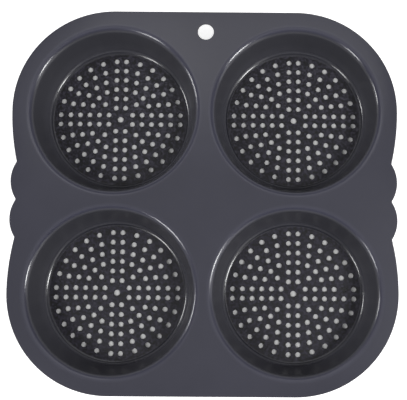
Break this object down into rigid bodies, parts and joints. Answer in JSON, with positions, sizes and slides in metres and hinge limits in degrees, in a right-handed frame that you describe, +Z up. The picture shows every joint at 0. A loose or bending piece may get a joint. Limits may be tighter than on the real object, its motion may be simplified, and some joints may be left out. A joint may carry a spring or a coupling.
{
  "type": "hamburger bun pan",
  "caption": "Square baking pan pressed from one coated steel sheet, with tapered round cups, perforated cup floors, finger grips and a hang hole.",
  "frame": {"origin": "on the resting plane, straight below the middle of the pan", "axes": "+Z up out of the open cups, +Y towards the hang hole, +X across the pan"},
  "size_m": [0.2692, 0.2692, 0.0228],
  "materials": {
    "coated_steel": "semi-gloss dark grey non-stick coating on pressed steel sheet"
  },
  "bodies": {
    "root": {"pan": "coated_steel"}
  },
  "joints": []
}
